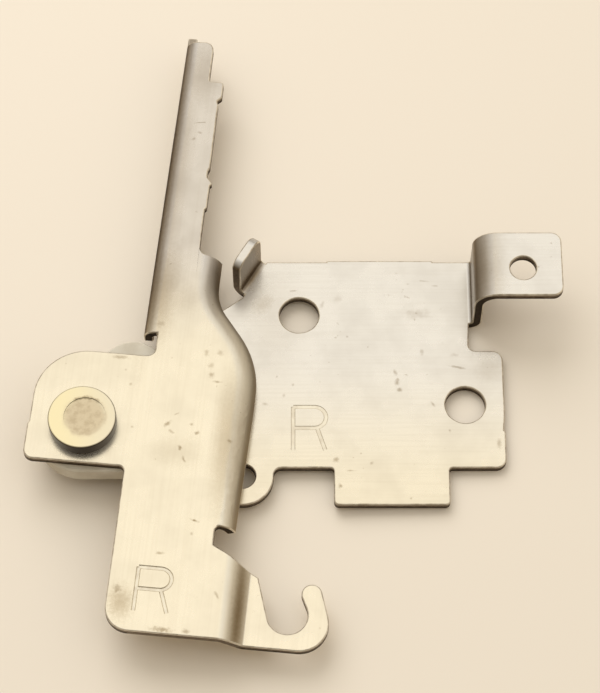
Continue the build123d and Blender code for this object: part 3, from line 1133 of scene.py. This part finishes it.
@dataclass
class Studio:
    """Table, soft light and camera."""

    aim: Triple = (44.89, 20.777, 4.0)
    tilt: float = 27.0
    distance: float = 544.0
    focal_pixels: float = 2560.0
    image_height: float = 693.0
    sensor: float = 36.0
    table: float = 3000.0
    light_axis: Triple = (-0.04, 0.30, 0.953)
    fill_place: Triple = (-350.0, 1000.0, 950.0)
    fill_size: float = 1300.0
    fill_power: float = 9.6
    horizon: float = 0.18
    horizon_low: float = 0.06
    horizon_top: float = 0.56
    right_share: float = 0.6
    viewer: float = 0.42
    viewer_near: float = -0.5
    viewer_far: float = 0.05
    tail_reach: float = 5.0
    plate_reach: float = 87.85

    def build(self) -> None:
        """Lay the table, light it and set the camera."""
        self.lay_table()
        self.light()
        self.set_camera()
        bpy.context.scene.view_settings.view_transform = "Standard"

    def lay_table(self) -> None:
        """Lay a plain cream table under the rivet's tail and the plate's far edge."""
        lean = math.atan2(PLATE_LOW, self.plate_reach - self.tail_reach)
        bpy.ops.object.select_all(action="DESELECT")
        bpy.ops.mesh.primitive_plane_add(size=self.table * MM)
        table = bpy.context.object
        table.name = "table"
        table.rotation_euler = (0.0, -lean, 0.0)
        table.location = (self.tail_reach * MM, 0.0, 0.0)
        table.data.materials.append(TablePaper().material())

    def light(self) -> None:
        """Light the scene by a warm soft box overhead, pale sides and a wide fill.

        The room is dark at the horizon and on the viewer's side, less so towards the right.
        """
        world = bpy.data.worlds.new("soft_room")
        bpy.context.scene.world = world
        world.use_nodes = True
        graph = NodeGraph(world.node_tree)
        back = world.node_tree.nodes["Background"]
        way = graph.add("ShaderNodeTexCoord").outputs["Generated"]
        graph.feed(back.inputs["Color"], self.room_colour(graph, way))
        graph.feed(back.inputs["Strength"], self.room_strength(graph, way))
        self.hang_fill()

    def room_colour(self, graph: NodeGraph, way: Socket) -> Socket:
        """Colour the room by the angle from the light's axis.

        Args:
            graph: Graph of the world.
            way: Direction that is looked in.

        Returns:
            The colour.
        """
        near = graph.add("ShaderNodeVectorMath")
        near.operation = "DOT_PRODUCT"
        graph.feed(near.inputs[0], way)
        near.inputs[1].default_value = self.light_axis
        angle = graph.join("ARCCOSINE", near.outputs["Value"], 0.0)
        room = graph.add("ShaderNodeValToRGB")
        graph.feed(room.inputs["Fac"], graph.join("DIVIDE", angle, math.pi))
        while len(room.color_ramp.elements) < len(ROOM):
            room.color_ramp.elements.new(1.0)
        for stop, (degrees, colour) in zip(room.color_ramp.elements, ROOM):
            stop.position = degrees / 180
            stop.color = (*colour, 1.0)
        return room.outputs["Color"]

    def room_strength(self, graph: NodeGraph, way: Socket) -> Socket:
        """Dim the room at the horizon and on the viewer's side.

        Args:
            graph: Graph of the world.
            way: Direction that is looked in.

        Returns:
            The strength.
        """
        rise = graph.axis(way, "Z")
        high = graph.ramp(rise, self.horizon_low, self.horizon_top, self.horizon, 1.0)
        right = graph.join("MAXIMUM", graph.axis(way, "X"), 0.0)
        right = graph.join("MULTIPLY", right, self.right_share)
        away = graph.join("ADD", graph.axis(way, "Y"), right)
        behind = graph.ramp(away, self.viewer_near, self.viewer_far, self.viewer, 1.0)
        return graph.join("MULTIPLY", high, behind)

    def hang_fill(self) -> None:
        """Hang one wide lamp that brightens the table and leaves the steel's reflections alone."""
        lamp = bpy.data.lights.new("fill", "AREA")
        lamp.shape = "DISK"
        lamp.size = self.fill_size * MM
        lamp.energy = self.fill_power
        fill = bpy.data.objects.new("fill", lamp)
        fill.location = Vector(self.fill_place) * MM
        ray = Vector(self.aim) - Vector(self.fill_place)
        fill.rotation_euler = ray.to_track_quat("-Z", "Y").to_euler()
        fill.visible_glossy = False
        bpy.context.scene.collection.objects.link(fill)

    def set_camera(self) -> None:
        """Stand the camera where the photograph was taken."""
        lens = bpy.data.cameras.new("camera")
        lens.sensor_width = self.sensor
        lens.lens = self.focal_pixels / self.image_height * self.sensor
        lens.clip_end = 10.0
        camera = bpy.data.objects.new("camera", lens)
        lean = math.radians(self.tilt)
        away = Vector((0.0, -math.sin(lean), math.cos(lean))) * self.distance
        camera.location = (Vector(self.aim) + away) * MM
        camera.rotation_euler = (lean, 0.0, 0.0)
        bpy.context.scene.collection.objects.link(camera)
        bpy.context.scene.camera = camera


# Degrees from the light's axis, and the room's colour there.
ROOM = (
    (0.0, (1.24, 1.16, 1.00)),
    (14.0, (1.22, 1.15, 1.00)),
    (24.0, (1.08, 1.05, 0.98)),
    (36.0, (0.95, 0.92, 0.86)),
    (55.0, (0.90, 0.82, 0.70)),
    (80.0, (0.88, 0.75, 0.56)),
)

# Painted shade over the whole height of the lever's left lip, laid in both lists of marks.
LEFT_LIP_SHADE = Mark((16.2, 56.2), 170.0, 9.0, 83.4, 1.0, 0.2, 7.6, 7.0)

# Dull worn spots, and at the end painted shade over the left lip and the joggle.
LEVER_SCUFFS_AND_SHADE = (
    Mark((17.5, -0.2), 2.6, 1.2, 40.0),
    Mark((18.3, -2.0), 2.0, 0.9, -35.0, 0.5),
    Mark((22.5, -0.3), 1.0, 0.9, 0.0, 0.6),
    Mark((23.6, -2.3), 1.8, 1.1, 30.0, 0.7),
    Mark((20.2, -5.6), 1.1, 1.8, 0.0, 0.8),
    Mark((21.0, -8.3), 2.4, 0.8, -70.0, 0.7),
    Mark((19.4, 2.1), 1.8, 0.5, 25.0, 0.5),
    Mark((23.5, -21.9), 2.4, 0.7, -20.0, 0.9),
    Mark((22.9, -24.8), 0.9, 0.9, 0.0, 0.5),
    Mark((16.5, -29.0), 2.4, 1.1, 0.0, 0.6),
    Mark((28.2, -38.1), 2.6, 0.9, -65.0, 0.6),
    Mark((8.3, -36.7), 2.4, 2.6, 0.0, 0.5),
    Mark((17.3, -45.4), 6.5, 1.6, -5.0, 0.75),
    Mark((22.2, -45.8), 2.4, 1.4, -5.0, 0.6),
    Mark((25.3, 16.2), 1.6, 2.2, 0.0, 0.45),
    Mark((28.2, 16.2), 2.0, 2.2, 0.0, 0.4),
    Mark((26.5, 11.1), 1.8, 2.0, 0.0, 0.55),
    Mark((27.7, 9.4), 2.4, 0.8, -8.0, 0.6),
    Mark((26.3, 13.3), 1.8, 2.4, 0.0, 0.35),
    Mark((30.4, -4.1), 1.6, 1.1, -20.0, 0.6),
    Mark((7.3, 15.2), 5.0, 1.2, -6.0, 0.55),
    Mark((9.6, 9.0), 1.0, 1.0, 0.0, 0.45),
    Mark((8.5, 12.3), 0.8, 0.8, 0.0, 0.4),
    Mark((10.2, -0.9), 0.9, 0.8, 0.0, 0.5),
    Mark((23.1, 72.9), 3.4, 0.5, 4.0, 0.6),
    Mark((23.0, 70.3), 1.6, 0.8, -15.0, 0.4),
    Mark((21.6, 68.7), 1.8, 0.9, 30.0, 0.4),
    Mark((17.3, 37.5), 0.8, 0.8, 0.0, 0.4),
    Mark((15.5, 23.0), 2.6, 2.0, 0.0, 0.3),
    LEFT_LIP_SHADE,
    # Painted shade over the joggle.
    Mark((32.8, -41.5), 6.0, 60.0, -5.5, 1.0, 0.2, 8.4, 3.8),
)

# Soft patches of painted shade, mostly along the lips and bends and on the joggle.
LEVER_SHADE_ZONES = (
    Mark((8.9, -39.5), 8.0, 11.0, 0.0, 0.75, 0.8),
    Mark((19.4, -6.6), 16.0, 10.0, 0.0, 0.25, 0.6),
    Mark((29.9, -4.0), 8.5, 48.0, -5.5, 0.7, 0.3),
    LEFT_LIP_SHADE,
    Mark((17.6, 56.2), 84.0, 8.0, 83.4, 0.5, 0.2),
    Mark((15.0, 31.0), 38.0, 12.0, 83.4, 0.9, 0.3),
    Mark((18.0, 29.0), 18.0, 12.0, 0.0, 0.35, 0.6),
    Mark((23.0, 85.5), 14.0, 24.0, -6.6, 0.42, 0.5),
    Mark((32.8, -41.5), 6.0, 60.0, -5.5, 0.6, 0.2, 8.4, 3.8),
)

# Dull worn spots, and at the end painted shade over the stop tab's bend.
PLATE_SCUFFS_AND_SHADE = (
    Mark((65.0, 14.7), 1.2, 2.2, 15.0, 0.5),
    Mark((65.4, 12.4), 1.4, 2.4, -15.0, 0.65),
    Mark((65.9, 10.5), 1.6, 1.4, 30.0, 0.65),
    Mark((69.7, 28.8), 1.0, 0.9, 0.0, 0.6),
    Mark((70.0, 28.6), 8.0, 3.4, 5.0, 0.25),
    Mark((78.1, 15.9), 4.6, 0.8, -12.0, 0.6),
    Mark((77.6, 18.8), 2.6, 1.4, 0.0, 0.3),
    Mark((72.8, 7.2), 2.0, 0.8, -55.0, 0.55),
    Mark((76.2, 1.0), 0.8, 1.2, 0.0, 0.6),
    Mark((52.4, -5.6), 1.8, 1.8, 0.0, 0.6),
    Mark((55.5, -8.1), 2.8, 0.5, 0.0, 0.55),
    Mark((59.8, -6.4), 0.9, 1.1, -40.0, 0.5),
    Mark((57.6, -4.2), 0.7, 0.6, 0.0, 0.5),
    Mark((53.2, -11.6), 1.6, 1.3, -20.0, 0.7),
    Mark((67.8, -14.4), 0.7, 0.7, 0.0, 0.5),
    Mark((70.8, 19.5), 1.2, 2.0, 0.0, 0.35),
    Mark((53.0, 32.2), 3.0, 2.0, 20.0, 0.2),
    Mark((49.6, 30.8), 1.4, 2.6, -20.0, 0.3),
    Mark((43.4, 34.2), 2.2, 0.5, 4.0, 0.5),
    Mark((43.4, 11.7), 1.0, 1.0, 0.0, 0.45),
    Mark((41.5, 9.1), 0.8, 1.2, 0.0, 0.35),
    Mark((37.5, 7.2), 1.4, 1.0, 0.0, 0.4),
    Mark((40.0, 13.6), 0.8, 0.7, 0.0, 0.35),
    Mark((86.4, -2.0), 1.4, 3.2, 0.0, 0.5),
    Mark((71.4, 36.6), 2.8, 0.5, -6.0, 0.4),
    Mark((73.9, 35.4), 1.8, 0.5, 0.0, 0.4),
    Mark((54.9, 23.1), 0.7, 0.6, 0.0, 0.4),
    # Painted shade over the stop tab's bend.
    Mark((34.8, 37.2), 16.0, 2.0, 59.4, 1.0, 0.2, 4.5, 3.0),
)

# Soft patches of painted shade, mostly on and around the stop tab and the screw tab.
PLATE_SHADE_ZONES = (
    Mark((85.0, 15.5), 10.0, 10.0, 0.0, 0.3, 0.6),
    Mark((37.0, 31.0), 8.0, 10.0, -30.0, 0.5, 0.6),
    Mark((39.0, 26.0), 18.0, 46.0, 0.0, 0.2, 0.4),
    Mark((34.8, 37.2), 16.0, 2.0, 59.4, 1.0, 0.2, 4.5, 9.0),
    Mark((83.5, 33.0), 13.0, 44.0, 0.0, 1.0, 0.2, 15.5, 12.0),
)


def main() -> None:
    """Build the hinge's pieces in order, then the studio."""
    logging.basicConfig(level=logging.INFO, format="%(message)s")
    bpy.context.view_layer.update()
    # The near and far colours hold the sheet's tone and a painted reflection of the room.
    plate_steel = SheetSteel(
        name="plate_sheet",
        near=shade(232, 224, 206),
        far=shade(226, 223, 219),
        near_y=-14.0,
        far_y=20.0,
        grain_turn=90.0,
        cloud_near=0.12,
        cloud_far=0.13,
        scuffs_and_shade=PLATE_SCUFFS_AND_SHADE,
        shade_zones=PLATE_SHADE_ZONES,
    )
    lever_steel = SheetSteel(
        name="lever_sheet",
        near=shade(236, 228, 210),
        far=shade(212, 206, 199),
        near_y=14.0,
        far_y=44.0,
        grain_turn=LEVER_TURN,
        cloud_near=0.1,
        cloud_far=0.17,
        scuffs_and_shade=LEVER_SCUFFS_AND_SHADE,
        shade_zones=LEVER_SHADE_ZONES,
    )
    parts = [
        MountingPlate(
            node="mounting_plate",
            piece_name="plate_pressing",
            body=Body.BASE,
            slot=Slot.PLATE,
            finish=plate_steel,
            mark=HandMark((43.45, -3.4), 0.0, height=9.95, bowl=4.85, depth=0.1, wall=0.12),
            mark_level=PLATE_LOW + SHEET,
            edge_levels=(PLATE_LOW, TAB_LOW),
        ),
        HingeLever(
            node="hinge_lever",
            piece_name="lever_pressing",
            body=Body.LEVER,
            slot=Slot.LEVER,
            finish=lever_steel,
            mark=HandMark((11.59, -41.36), LEVER_TURN, height=9.45, bowl=4.6, depth=0.2),
            mark_level=LEVER_LOW + SHEET,
            edge_levels=(LEVER_LOW, HOOK_LOW),
        ),
        DressedPart("friction_plate", "spacer_moulding", Body.BASE, Slot.NYLON, NaturalNylon()),
        DressedPart("pivot_rivet", "rivet_turning", Body.BASE, Slot.RIVET, RivetSteel()),
    ]
    for part in parts:
        part.build()
    Studio().build()


if __name__ == "__main__":
    main()
